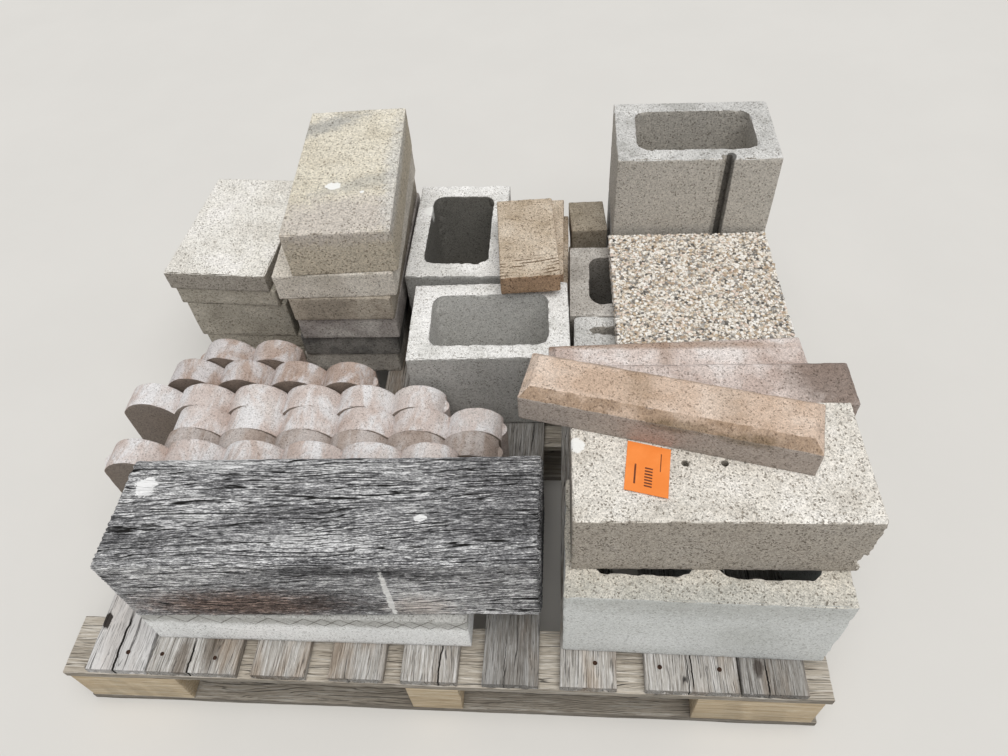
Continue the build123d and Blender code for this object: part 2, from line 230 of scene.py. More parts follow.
def weathered_wood(name, dark, mid, light, along, ring, run, contrast, crack, sway=5.0, bend=85.0,
                   slant=0.0, front=1.0, lines=(), stain=None, splits=(), shades=(), marks=(),
                   splashes=()):
    """Old sawn softwood: grain stands in silver ridges along the board, with dark checks between the ridges.
    Ring is the ridges' width in millimetres and run how long the grain is drawn out. Lines are (spacing and
    half width in mm, amount, how bare); shades are (step in brightness, spot)."""
    made, tree, shader = new_material(name)
    bent = place_in(tree, tuple(0.4 if a == along else 1 for a in "XYZ"))
    drift = add(tree, "TexNoise", {"Vector": bent, "Scale": 1 / (bend * MM), "Detail": 2.0}, "Color")
    turned = add(tree, "Mapping", {"Vector": place_in(tree),
                                   "Rotation": (0, math.radians(slant / 2), math.radians(-slant))})
    wavy = add(tree, "VectorMath", {0: drift, 1: (sway * 2 * MM,) * 3, 2: turned}, operation="MULTIPLY_ADD")

    def grain_place(share, offset=(0, 0, 0)):
        scale = tuple(share if a == along else 1.0 for a in "XYZ")
        return add(tree, "Mapping", {"Vector": wavy, "Scale": scale, "Location": offset})

    patches = add(tree, "TexNoise", {"Vector": grain_place(0.25, (2.0, 1.0, 0.5)), "Scale": 1 / (55 * MM),
                                     "Detail": 4.0, "Roughness": 0.6})
    coarse = add(tree, "TexNoise", {"Vector": grain_place(run), "Scale": 1 / (ring * MM), "Detail": 5.0,
                                    "Roughness": 0.68})
    fine = add(tree, "TexNoise", {"Vector": grain_place(run * 1.8, (1.0, 0, 0)),
                                  "Scale": 1 / (ring * 0.42 * MM), "Detail": 3.0, "Roughness": 0.7})
    fibre = add(tree, "Mix", {0: 0.42, 2: coarse, 3: fine})
    mottle = add(tree, "MapRange", {0: patches, 1: 0.3, 2: 0.7, 3: -0.035, 4: 0.035}, **SMOOTH)
    fibre = add(tree, "Math", {0: fibre, 1: mottle}, **PLUS)
    for step, *place in shades:
        shade = add(tree, "Math", {0: spot(tree, *place), 1: step}, **TIMES)
        fibre = add(tree, "Math", {0: fibre, 1: shade}, **PLUS)
    raised = add(tree, "MapRange", {0: fibre, 1: 0.5 - contrast * 1.5, 2: 0.5}, **SMOOTH)
    ridge = add(tree, "MapRange", {0: fibre, 1: 0.495, 2: 0.5 + contrast}, **SMOOTH)
    colour = add(tree, "Mix", {0: raised, 6: srgb(dark), 7: srgb(mid)}, 2, **COVER)
    colour = add(tree, "Mix", {0: ridge, 6: colour, 7: srgb(light)}, 2, **COVER)
    if stain:
        tint, size, amount = stain
        shape = add(tree, "TexNoise", {"Vector": grain_place(0.2, (1.3, 0.4, 0.2)), "Scale": 1 / (size * MM),
                                       "Detail": 4.0, "Roughness": 0.6, "Distortion": 0.3})
        shape = add(tree, "MapRange", {0: shape, 1: 0.48, 2: 0.64, 3: 0.0, 4: amount}, **SMOOTH)
        colour = add(tree, "Mix", {0: shape, 6: colour, 7: srgb(tint)}, 2, **DARKEN)
    tone = add(tree, "Attribute", {}, "Fac", attribute_name="tone")
    shade = add(tree, "CombineColor", {0: tone, 1: tone, 2: tone})
    colour = add(tree, "Mix", {0: 1.0, 6: colour, 7: shade}, 2, **DARKEN)
    silver = add(tree, "MapRange", {0: tone, 1: 1.0, 2: 1.1, 3: 0.0, 4: 0.6}, **SMOOTH)
    colour = add(tree, "Mix", {0: silver, 6: colour, 7: srgb("#DCDCDD")}, 2, **COVER)
    # Painted shade and light: faces that look forward are multiplied by front, darker below one, lighter
    # above
    painted_front_shading = add(tree, "Mix", {0: 1.0, 6: colour, 7: (front, front, front, 1.0)}, 2, **DARKEN)
    colour = add(tree, "Mix", {0: facing_share(tree, "Y", -0.7, -0.9), 6: colour, 7: painted_front_shading}, 2, **COVER)
    colour = marks_on(tree, colour, marks, DARKEN)
    check = add(tree, "TexNoise", {"Vector": grain_place(run * 0.6, (7.0, 3.0, 1.0)),
                                   "Scale": 1 / (ring * 1.5 * MM), "Detail": 4.0, "Roughness": 0.75,
                                   "Distortion": 0.3})
    check = add(tree, "MapRange", {0: check, 1: 0.37, 2: 0.32, 3: 0.0, 4: crack}, **SMOOTH)
    colour = add(tree, "Mix", {0: check, 6: colour, 7: srgb("#1B1917")}, 2, **COVER)
    sunk = add(tree, "Math", {0: check, 1: 0.4}, **TIMES)
    height = add(tree, "Math", {0: fibre, 1: sunk}, **MINUS)
    axes = add(tree, "SeparateXYZ", {0: wavy}, None)
    first, second = [a for a in "XYZ" if a != along]
    flow = add(tree, "TexNoise", {"Vector": grain_place(0.09, (3.0, 5.0, 2.0)), "Scale": 1 / (34 * MM),
                                  "Detail": 3.0, "Roughness": 0.5})
    flow = add(tree, "Math", {0: flow, 1: 50 * MM}, **TIMES)
    across = add(tree, "Math", {0: axes[first], 1: axes[second]}, **PLUS)
    across = add(tree, "Math", {0: across, 1: flow}, **PLUS)
    for number, (spacing, half, amount, bare) in enumerate(lines):
        period = add(tree, "Math", {0: across, 1: 1 / (spacing * MM)}, **TIMES)
        period = add(tree, "Math", {0: period, 1: 0.5}, operation="PINGPONG")
        drawn = add(tree, "MapRange", {0: period, 1: half / spacing, 2: half / spacing * 0.25}, **SMOOTH)
        shown = add(tree, "TexNoise", {"Vector": grain_place(0.11, (number * 3.0, 1.0, 6.0)),
                                       "Scale": 1 / (spacing * 1.6 * MM), "Detail": 4.0, "Roughness": 0.6})
        shown = add(tree, "MapRange", {0: shown, 1: bare, 2: bare + 0.07, 3: 0.0, 4: amount}, **SMOOTH)
        seam = add(tree, "Math", {0: drawn, 1: shown}, **TIMES)
        colour = add(tree, "Mix", {0: seam, 6: colour, 7: srgb("#1A1918")}, 2, **COVER)
        sunk = add(tree, "Math", {0: seam, 1: 0.5}, **TIMES)
        height = add(tree, "Math", {0: height, 1: sunk}, **MINUS)
    if splits:
        colour, height = end_splits(tree, colour, height, splits)
    colour = marks_on(tree, colour, splashes, COVER)
    rough = add(tree, "MapRange", {0: patches, 1: 0.3, 2: 0.7, 3: 0.8, 4: 0.93}, **SMOOTH)
    finish_material(tree, shader, colour, rough, height, 0.9, 4.0)
    return made


def kerb_lines(tree, colour):
    """Thin dark zigzag lines pressed under the kerb's top edge, crossing on its right half."""
    axes = add(tree, "SeparateXYZ", {0: place_in(tree)}, None)
    along = add(tree, "Math", {0: axes["X"], 1: 2 * MM}, **PLUS)
    wave = add(tree, "Math", {0: along, 1: 27.5 * MM}, operation="PINGPONG")
    broken = add(tree, "TexNoise", {"Vector": place_in(tree, offset=(3, 0, 0)), "Scale": 1 / (30 * MM),
                                    "Detail": 3.0, "Roughness": 0.55})
    broken = add(tree, "MapRange", {0: broken, 1: 0.38, 2: 0.5, 3: 0.25, 4: 0.8}, **SMOOTH)
    right_half = add(tree, "MapRange", {0: axes["X"], 1: -260 * MM, 2: -160 * MM}, **SMOOTH)
    for rise, foot, length in ((0.9, 205, 1.0), (-0.9, 230, right_half)):
        line = add(tree, "Math", {0: wave, 1: rise}, **TIMES)
        line = add(tree, "Math", {0: line, 1: foot * MM}, **PLUS)
        off = add(tree, "Math", {0: axes["Z"], 1: line}, **MINUS)
        off = add(tree, "Math", {0: off}, operation="ABSOLUTE")
        drawn = add(tree, "MapRange", {0: off, 1: 2.1 * MM, 2: 0.9 * MM}, **SMOOTH)
        for share in (facing_share(tree, "Y", -0.4, -0.8), broken, length):
            drawn = add(tree, "Math", {0: drawn, 1: share}, **TIMES)
        colour = add(tree, "Mix", {0: drawn, 6: colour, 7: srgb("#6A6862")}, 2, **COVER)
    return colour


def saw_lines(tree, colour):
    """Shallow scratches left by a saw across the front third of the top paver."""
    shifted = place_in(tree, offset=(-135 * MM, -155 * MM, -390 * MM))
    local = add(tree, "Mapping", {"Vector": shifted, "Rotation": (0, 0, math.radians(-9))})
    axes = add(tree, "SeparateXYZ", {0: local}, None)
    bow = add(tree, "Math", {0: axes["X"], 1: axes["X"]}, **TIMES)
    bow = add(tree, "Math", {0: bow, 1: -1.6}, **TIMES)
    ripple = add(tree, "Math", {0: axes["Y"], 1: bow}, **PLUS)
    ripple = add(tree, "Math", {0: ripple, 1: 4.2 * MM}, operation="PINGPONG")
    scratch = add(tree, "MapRange", {0: ripple, 1: 1.9 * MM, 2: 0.8 * MM}, **SMOOTH)
    near = add(tree, "MapRange", {0: axes["Y"], 1: 50 * MM, 2: 30 * MM}, **SMOOTH)
    top = add(tree, "MapRange", {0: axes["Z"], 1: -10 * MM, 2: 0.0}, **SMOOTH)
    broken = add(tree, "TexNoise", {"Vector": place_in(tree, (0.3, 1, 1)), "Scale": 1 / (11 * MM),
                                    "Detail": 3.0, "Roughness": 0.55})
    broken = add(tree, "MapRange", {0: broken, 1: 0.4, 2: 0.54}, **SMOOTH)
    for share in (near, top, broken):
        scratch = add(tree, "Math", {0: scratch, 1: share}, **TIMES)
    return add(tree, "Mix", {0: scratch, 6: colour, 7: srgb("#5E4933")}, 2, **COVER)


def washed_pebbles():
    """Washed aggregate: river pebbles of many stones, each smooth with a faint waxy shine. Between the
    large ones, which carry their own tone, small stones of 4.6 mm lie in a brown matrix."""
    made, tree, shader = new_material("washed_river_pebbles")
    tone = add(tree, "Attribute", {}, "Fac", attribute_name="tone")
    where = place_in(tree)
    matrix = add(tree, "MapRange", {0: tone, 1: 0.955, 2: 0.965}, **SMOOTH)
    small_stones = {"Vector": where, "Scale": 1 / (4.6 * MM)}
    cells = add(tree, "TexVoronoi", small_stones, "Color")
    gaps = add(tree, "TexVoronoi", small_stones, "Distance", feature="DISTANCE_TO_EDGE")
    picked = add(tree, "Mix", {0: matrix, 2: tone, 3: add(tree, "SeparateColor", {0: cells})})
    picked = add(tree, "Math", {0: picked, 1: 0.99}, **TIMES)
    colour = add(tree, "ValToRGB", {0: picked})
    band = colour.node.color_ramp
    band.interpolation = "CONSTANT"
    band.elements[0].color = srgb(STONES[0])
    band.elements[1].position = 1 / len(STONES)
    band.elements[1].color = srgb(STONES[1])
    for index, code in enumerate(STONES[2:], 2):
        band.elements.new(index / len(STONES)).color = srgb(code)
    veins = add(tree, "TexNoise", {"Vector": where, "Scale": 1 / (4 * MM), "Detail": 4.0, "Roughness": 0.6})
    vein = add(tree, "MapRange", {0: veins, 1: 0.4, 2: 0.7, 3: 0.0, 4: 0.3}, **SMOOTH)
    colour = add(tree, "Mix", {0: vein, 6: colour, 7: srgb("#857B6E")}, 2, **COVER)
    between = add(tree, "MapRange", {0: gaps, 1: 0.16, 2: 0.04, 3: 0.0, 4: 0.85}, **SMOOTH)
    colour = tinted(tree, colour, "#7C7263", matrix, between)
    rough = add(tree, "MapRange", {0: veins, 1: 0.3, 2: 0.7, 3: 0.55, 4: 0.8}, **SMOOTH)
    finish_material(tree, shader, colour, rough, veins, 0.3, 0.4)
    return made


def plain_coat(name, dark, light, roughness, size, depth):
    """An even coat with a faint mottle of a size in millimetres."""
    made, tree, shader = new_material(name)
    mottle = add(tree, "TexNoise", {"Vector": place_in(tree), "Scale": 1 / (size * MM), "Detail": 4.0,
                                    "Roughness": 0.6})
    share = add(tree, "MapRange", {0: mottle, 1: 0.35, 2: 0.7}, **SMOOTH)
    colour = add(tree, "Mix", {0: share, 6: srgb(dark), 7: srgb(light)}, 2, **COVER)
    rough = add(tree, "MapRange", {0: mottle, 1: 0.3, 2: 0.7, 3: roughness, 4: roughness + 0.1}, **SMOOTH)
    finish_material(tree, shader, colour, rough, mottle, 0.3, depth)
    return made


# Shapes


def size_of(node, turn):
    """Middle of a node's underside, and its own length, depth and height, from its box and its turn."""
    low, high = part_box(node)
    across, back = high.x - low.x, high.y - low.y
    cosine, sine = math.cos(math.radians(turn)), abs(math.sin(math.radians(turn)))
    spread = cosine * cosine - sine * sine
    length = (across * cosine - back * sine) / spread
    depth = (back * cosine - across * sine) / spread
    return Vector(((low.x + high.x) / 2, (low.y + high.y) / 2, low.z)), (length, depth, high.z - low.z)


def block(length, depth, height):
    """A plain block in a bmesh, its underside's middle at the origin."""
    bm = bmesh.new()
    bmesh.ops.create_cube(bm, size=1.0)
    bmesh.ops.translate(bm, verts=bm.verts, vec=(0, 0, 0.5))
    bmesh.ops.scale(bm, verts=bm.verts, vec=(length, depth, height))
    return bm


def grid(bm, step):
    """Divides a plain block's edges into even steps, with a square grid on every face."""
    for axis in range(3):
        run = [e for e in bm.edges if e.calc_length() > 1.5 * step[axis]
               and abs((e.verts[0].co - e.verts[1].co).normalized()[axis]) > 0.9]
        cuts = max(1, round(max(e.calc_length() for e in run) / step[axis]) - 1)
        bmesh.ops.subdivide_edges(bm, edges=run, cuts=cuts, use_grid_fill=True)


def sharp_edges(bm, angle=30.0):
    """The edges where two faces meet at more than an angle."""
    return [e for e in bm.edges if len(e.link_faces) == 2 and e.calc_face_angle(0) > math.radians(angle)]


def break_edges(bm, width):
    """Breaks the sharp edges with a small round."""
    bmesh.ops.bevel(bm, geom=sharp_edges(bm), offset=width, segments=2, profile=0.5, affect="EDGES",
                    material=-1, clamp_overlap=True)


def weather(bm, seed, rough=0.35, wave=0.6, chip=4.0, chip_size=15.0, round_axis=False):
    """Wears a shape: fine grit, a slow wave over its faces, and chips along its edges, in millimetres."""
    bm.normal_update()
    shift = Vector((seed * 7.31, seed * 3.17, seed * 5.71))
    moves = []
    for v in bm.verts:
        place = v.co / MM
        facing = v.normal
        flat = max(abs(facing[axis]) for axis in range(3))
        if round_axis:
            flat = max(abs(facing.y), math.hypot(facing.x, facing.z))
        edge = min(1.0, (1.0 - flat) * 3.8)
        torn = noise.fractal(place / chip_size + shift, 0.8, 2.1, 3)
        worn = edge * max(0.0, torn + 0.12) * chip
        worn += rough * noise.noise(place / 3.5 + shift) + wave * noise.noise(place / 70 + shift)
        moves.append(-facing * (max(worn, -0.4) * MM))
    for v, move in zip(bm.verts, moves):
        v.co += move


def show(bm, name, material, nodes=(), middle=(0, 0, 0), turn=0.0):
    """Turns a shape, moves it to its place, and makes it a piece that stands for its nodes."""
    matrix = Matrix.Translation(middle) @ Matrix.Rotation(math.radians(turn), 4, "Z")
    bmesh.ops.transform(bm, matrix=matrix, verts=bm.verts)
    for face in bm.faces:
        face.smooth = True
    for edge in sharp_edges(bm, 40.0):
        edge.smooth = False
    mesh = bpy.data.meshes.new(name)
    bm.to_mesh(mesh)
    bm.free()
    mesh.materials.append(material)
    piece = bpy.data.objects.new(name, mesh)
    bpy.context.scene.collection.objects.link(piece)
    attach(piece, "root")
    if nodes:
        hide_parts(*nodes)
    return piece


def mark(bm, tone):
    """Gives every face of a shape one tone, which its material reads."""
    layer = bm.faces.layers.float.get("tone") or bm.faces.layers.float.new("tone")
    for face in bm.faces:
        face[layer] = tone


def take_in(bm, part):
    """Adds one shape to another and frees it."""
    held = bpy.data.meshes.new("held")
    part.to_mesh(held)
    part.free()
    bm.from_mesh(held)
    bpy.data.meshes.remove(held)


def worn_slab(node, turn, material, slot, seed, step=5.0, **wear):
    """A slab, stone or paver in place of its node, with worn faces and chipped edges."""
    middle, (length, depth, height) = size_of(node, turn)
    bm = block(length, depth, height)
    break_edges(bm, 2 * MM)
    grid(bm, (step * MM,) * 3)
    weather(bm, seed, **wear)
    return show(bm, "worn_" + node, material, (node,), middle, turn)


def through(bm, kind, **settings):
    """Puts a shape through one modifier."""
    raw = bpy.data.meshes.new("raw")
    bm.to_mesh(raw)
    holder = bpy.data.objects.new("raw", raw)
    bpy.context.scene.collection.objects.link(holder)
    modifier = holder.modifiers.new("step", kind)
    for key, value in settings.items():
        setattr(modifier, key, value)
    held = holder.evaluated_get(bpy.context.evaluated_depsgraph_get())
    bm.clear()
    bm.from_mesh(held.to_mesh())
    held.to_mesh_clear()
    bpy.data.objects.remove(holder)
    bpy.data.meshes.remove(raw)
    return bm


def cut(bm, tool):
    """Cuts a tool's volume out of a shape."""
    raw = bpy.data.meshes.new("tool")
    tool.to_mesh(raw)
    tool.free()
    holder = bpy.data.objects.new("tool", raw)
    bpy.context.scene.collection.objects.link(holder)
    through(bm, "BOOLEAN", operation="DIFFERENCE", solver="EXACT", object=holder)
    bpy.data.objects.remove(holder)
    bpy.data.meshes.remove(raw)
    return bm


PAST, WEB, BLOCK_ARRIS = 10 * MM, 32 * MM, 2.5 * MM


def core(x, width, depth, height):
    """The tool for one core with round corners, which runs out past both ends."""
    bm = block(width, depth, height + 2 * PAST)
    upright = [e for e in bm.edges if abs(e.verts[0].co.z - e.verts[1].co.z) > height]
    bmesh.ops.bevel(bm, geom=upright, offset=24 * MM, segments=6, profile=0.5, affect="EDGES", material=-1)
    bmesh.ops.translate(bm, verts=bm.verts, vec=(x, 0, -PAST))
    return bm


def bite(bm, x, y, z, radius, seed):
    """Knocks a piece off at a place given in millimetres from the underside's middle."""
    tool = bmesh.new()
    bmesh.ops.create_icosphere(tool, subdivisions=3, radius=radius * MM)
    for v in tool.verts:
        v.co *= 1 + 0.35 * noise.noise(v.co / MM / radius * 1.6 + Vector((seed, 0, 0)))
    bmesh.ops.translate(tool, verts=tool.verts, vec=(x * MM, y * MM, z * MM))
    return cut(bm, tool)


def crisp(bm, fineness):
    """The shape as even small faces that keep its sharp edges: each step of fineness halves them."""
    return through(bm, "REMESH", mode="SHARP", octree_depth=fineness, scale=0.96, sharpness=1.0,
                   use_remove_disconnected=False)


def hollow_block(node, turn, material, seed, walls, cores=1, fineness=6, groove=None, bites=()):
    """A moulded block with one or two round-cornered cores. A groove is (place, width) on its front."""
    middle, (length, depth, height) = size_of(node, turn)
    bm = block(length, depth, height)
    break_edges(bm, BLOCK_ARRIS)
    wall_x, wall_y = walls[0] * MM, walls[1] * MM
    width = (length - 2 * wall_x - (cores - 1) * WEB) / cores
    for index in range(cores):
        x = (index - (cores - 1) / 2) * (width + WEB)
        cut(bm, core(x, width, depth - 2 * wall_y, height))
    if groove:
        slot = block(groove[1] * MM, 26 * MM, height + 2 * PAST)
        bmesh.ops.translate(slot, verts=slot.verts, vec=(groove[0] * MM, -depth / 2, -PAST))
        cut(bm, slot)
    for place in bites:
        bite(bm, *place)
    crisp(bm, fineness)
    weather(bm, seed)
    return show(bm, "moulded_" + node, material, (node,), middle, turn)


# Finishes of the masonry. Places of marks are in metres, and their half sizes in millimetres

DROPPING = ("#F4F4F1", 0.95)
STONES = ("#F5F2EC", "#E8E1D6", "#DCD1C2", "#F2EEE8", "#D2C3B1", "#C5B299", "#E0DAD1", "#B4B0A9", "#EEE9E0",
          "#AF9A84", "#DCCABD", "#7A7773", "#F0ECE6", "#E5DED3", "#9B9894", "#575552", "#F1EDE7")

# Dry pressed block: a pale top over greyer upright faces, which are partly painted shade
grey_block = concrete("open_pressed_block_concrete", "#DBDAD6", "#EAE9E6", "#F3F2F0", grit=2.4, speck=0.52,
                      pits=0.5, side=("#A8A7A3", 0.8, "Z"),
                      # Painted shade in the middle block's core; painted light in the turned block's core,
                      # and painted shade low in it
                      marks=(("#76746E", 0.92, (-0.018, 0.3545, 0.230), (73, 118, 101), 0, 0.02),
                             ("#DAD9D5", 0.9, (0.061, 0.0900, 0.232), (117, 73, 99), 0, 0.02),
                             ("#5D5C58", 0.6, (0.061, 0.0900, 0.150), (117, 73, 70), 0, 0.9)),
                      splashes=((*DROPPING, (-0.086, 0.414, 0.332), (12, 14, 30), 2.0, 0.05),))
# The same block under a film of brown dust, which dulls every grain
dusty_block = concrete("dust_stained_block_concrete", "#9E9992", "#B3AEA7", "#C9C5BF", grit=2.4, speck=0.6,
                       pits=0.5, side=("#8B867F", 0.7, "Z"))
# Darker and more open, with painted shade in the groove down its front
sash_grey = concrete("dry_pressed_block_concrete", "#B9B8B4", "#CBCAC7", "#D8D7D4", grit=2.4, speck=0.6,
                     pits=0.6, side=("#C2BCB2", 0.85, "Z"),
                     marks=(("#45433F", 0.85, (0.4985, 0.310, 0.42), (9.6, 12, 300), 0.05, 0.05),))
# Gritty beige on top, and a cool, nearly smooth face where the mould's steel pressed it
lower_grey = concrete("smooth_faced_block_concrete", "#C6C1B5", "#D6D0C4", "#E1DBCF", grit=2.4, speck=0.7,
                      side_speck=0.3, pits=0.4, side=("#D7DAD9", 0.9, "Z"),
                      marks=(("#B3B4AF", 0.6, (0.40, -0.449, 0.325), (230, 30, 40), 2.0, 0.7),
                             ("#BDBFBB", 0.6, (0.47, -0.449, 0.220), (46, 30, 40), 2.2, 0.8),
                             ("#E4E6E5", 0.6, (0.33, -0.449, 0.190), (70, 30, 26), 2.2, 0.8)))
# Bleached and full of open pits, so it looks like coarse bread; its sides are brown grey
beige_block = concrete("pale_open_faced_block_concrete", "#D4CEC4", "#E3DED5", "#EEEAE3", grit=2.3, speck=0.7,
                       pits=0.9, side=("#9D9488", 0.8, "Z"),
                       splashes=((*DROPPING, (0.2175, -0.2875, 0.465), (10, 13, 20), 1.8, 0.05),))
# Sun-bleached capping, even and lightly sanded
cap_light = concrete("pale_capping_concrete", "#C3BCB0", "#D2CBC0", "#DDD7CC", grit=2.4, speck=0.55)
# Almost white top with dark sand in it, over brown sides
slab_grey = concrete("pale_speckled_slab_concrete", "#DEDAD2", "#E8E5DE", "#F0EDE8", grit=2.4, speck=0.65,
                     pits=0.7, side=("#958E83", 0.85, "Z"))
# Earth stained, dull and flat
slab_brown = concrete("brown_grey_slab_concrete", "#A19B8E", "#B1AB9E", "#C0BAAD", speck=0.5, pits=0.6)
cap_brown = concrete("brown_grey_capping_concrete", "#978E81", "#A79D8F", "#B6AD9F", speck=0.5)
# Damp, with a violet cast
cap_purple = concrete("purplish_capping_concrete", "#97908C", "#A8A19C", "#C3BEB8", speck=0.5)
# Black with soot and algae
cap_black = concrete("blackened_capping_concrete", "#5A5957", "#6D6B68", "#8B8883", speck=0.5)
# Greyed by lime that has run down
cap_lowest = concrete("limed_capping_concrete", "#A29D96", "#B6B1A9", "#D8D4CC", speck=0.5)
# Warm cast stone, with slanting grey water stains and pale worn edges
stone = concrete("yellow_beige_stone_concrete", "#D6CEBC", "#E0D9C8", "#E8E2D4", grit=2.6, speck=0.65,
                 pits=0.7, side=("#BDB29F", 0.8, "Z"),
                 marks=(("#A9A8A4", 0.75, (-0.285, 0.452, 0.515), (90, 26, 60), 2.2, 0.5, (0, 0, 30)),
                        ("#AEADA8", 0.5, (-0.165, 0.262, 0.515), (90, 18, 40), 2.6, 0.6, (0, 0, 22)),
                        ("#C9C1B9", 0.85, (-0.19, 0.155, 0.515), (170, 62, 30), 1.6, 0.5, (0, 0, 8)),
                        ("#D2D0CB", 0.7, (-0.114, 0.30, 0.515), (22, 190, 30), 1.6, 0.5, (0, 0, 4))),
                 splashes=((*DROPPING, (-0.224, 0.250, 0.515), (15, 10, 20), 2.0, 0.05),
                           (*DROPPING, (-0.168, 0.232, 0.515), (4, 4, 20), 1.5, 0.05)))
# Fine pigmented concrete: pink under a white bloom of lime, and darker brown on forward faces, partly painted
# shade
edger_pink = concrete("pinkish_edger_concrete", "#C4B3AA", "#CFC2BC", "#DAD2CE", grit=2.0, speck=0.4,
                      pits=0.12, side=("#7A7066", 0.9, "Y"), bloom=("#E6E5E6", 0.9, 45.0))
edger_brown = concrete("rusty_brown_edger_concrete", "#A79285", "#B5A297", "#C2B3AA", grit=2.0, speck=0.4,
                       pits=0.12, side=("#796D63", 0.9, "Y"), bloom=("#D6D3D4", 0.85, 40.0))
# The same, damp and with little bloom
edger_dark = concrete("damp_edger_concrete", "#9E8F85", "#AD9F96", "#BBAFA8", grit=2.0, speck=0.45,
                      pits=0.2, side=("#6C6157", 0.9, "Y"), bloom=("#CDC8C6", 0.6, 40.0))
# Nearly white cast kerb: smooth below, with a darker grey band and pressed lines under its top edge
kerb = concrete("cast_kerb_concrete", "#EFF0EF", "#F5F6F5", "#F9F9F8", grit=2.2, speck=0.5, side_speck=0.3,
                pits=0.8, after=kerb_lines,
                marks=(("#A5A49F", 0.8, (-0.2, -0.452, 0.238), (900, 60, 34), 0.6, 0.3),
                       ("#C2C1BD", 0.6, (-0.2, -0.452, 0.140), (300, 40, 6), 1.5, 0.4)),
                splashes=(("#FDFDFC", 0.8, (-0.315, -0.452, 0.186), (44, 20, 2.0), 1.4, 0.3, (0, 9, 0)),
                          ("#FDFDFC", 0.7, (-0.255, -0.452, 0.190), (26, 20, 1.6), 1.4, 0.3, (0, -14, 0))))
# Faded pink grit, with rust brown patches, and a long brown strip along the pile, partly painted shade
pink_long = concrete("pinkish_long_edger_concrete", "#C2B0A7", "#D6C8C1", "#E8E0DC", grit=2.4, speck=0.55,
                     pits=0.35,
                     marks=(("#84746A", 0.9, (0.600, -0.160, 0.465), (75, 60, 90), 0.8, 0.4),
                            ("#9C8069", 0.7, (0.30, -0.055, 0.421), (240, 11, 30), 0.6, 0.4),
                            ("#9A7F6A", 0.5, (0.36, -0.075, 0.421), (12, 40, 30), 0.8, 0.6)))
# Sandy tan grit, greyer on its sides and darker along the front bevel
tan_long = concrete("tan_long_edger_concrete", "#C9B09B", "#D5BEAB", "#E0CDBD", grit=2.2, speck=0.5, pits=0.3,
                    side=("#A99F97", 0.9, "Z"), slope="#A38B75",
                    marks=(("#6E5E46", 0.6, (0.325, -0.292, 0.512), (60, 13, 12), 1.6, 0.4),
                           ("#6E5E46", 0.6, (0.415, -0.314, 0.512), (70, 13, 12), 1.6, 0.4),
                           ("#8F7558", 0.45, (0.300, -0.235, 0.530), (22, 40, 10), 1.2, 0.6),
                           ("#96795C", 0.35, (0.42, -0.27, 0.530), (24, 60, 10), 1.2, 0.6)))
# Coarse brown sand, redder on its sides, scratched by a saw
brown_paver = concrete("tan_paver_concrete", "#B3A28C", "#C5B5A1", "#D3C5B3", grit=2.4, speck=0.7, pits=0.5,
                       side=("#A5866A", 0.85, "Z"), after=saw_lines)
# Coarse grey brown sand
dark_paver = concrete("dark_paver_concrete", "#9C917F", "#ADA291", "#BDB3A3", grit=2.4, speck=0.6)
pebbles = washed_pebbles()

# Finishes of the wood

# Sun-silvered deck: grey ridges, black checks and end splits, with some warm wood left between
deck_grey = weathered_wood("greyed_sawn_deck_boards", "#968F87", "#C0BCB6", "#E4E2DF", "Y", ring=2.6,
                           # Painted shade: front of 0.75 darkens the boards' ends that look forward
                           run=0.022, contrast=0.085, crack=0.7, front=0.75, stain=("#CDB396", 70.0, 0.6),
                           lines=((7.0, 0.7, 0.75, 0.52), (3.2, 0.4, 0.5, 0.48)),
                           splits=((-519, -512, -400, 2.8), (-395, -512, -440, 2.0), (398, -500, -400, 1.2),
                                   (8, -512, -420, 1.6), (510, -505, -440, 1.6), (392, -512, -440, 0.9),
                                   (-312, -512, -380, 0.8), (110, -512, -430, 0.6)),
                           splashes=(("#241B15", 0.95, (-0.558, -0.427, 0.138), (8, 13, 20), 1.8, 0.1),
                                     ("#3B3029", 0.8, (0.499, -0.468, 0.138), (7, 16, 20), 1.2, 0.3)),
                           marks=(("#8A7E70", 0.8, (-0.366, -0.462, 0.138), (14, 40, 20), 0.8, 0.5),
                                  ("#9A8E82", 0.8, (-0.41, -0.49, 0.138), (12, 40, 20), 0.8, 0.5)))
# Greyer brown, with the rain kept off: long soft streaks
frame_grey = weathered_wood("greyed_sawn_cross_boards", "#958B7E", "#B9B0A2", "#D5CFC5", "X", ring=3.0,
                            # Painted shade: front of 0.68 darkens the faces that look forward
                            run=0.022, contrast=0.1, crack=0.5, front=0.68,
                            lines=((9.0, 0.7, 0.7, 0.50), (3.6, 0.4, 0.5, 0.46)))
# Still yellow, with wide faint rings and hardly a check
block_yellow = weathered_wood("clean_sawn_block_wood", "#AB9779", "#C0AE92", "#CEC1A9", "X", ring=5.0,
                              # Painted shade: front of 0.93 darkens the faces that look forward a little
                              run=0.04, contrast=0.1, crack=0.1, sway=9.0, front=0.93,
                              lines=((11.0, 0.9, 0.35, 0.45),))
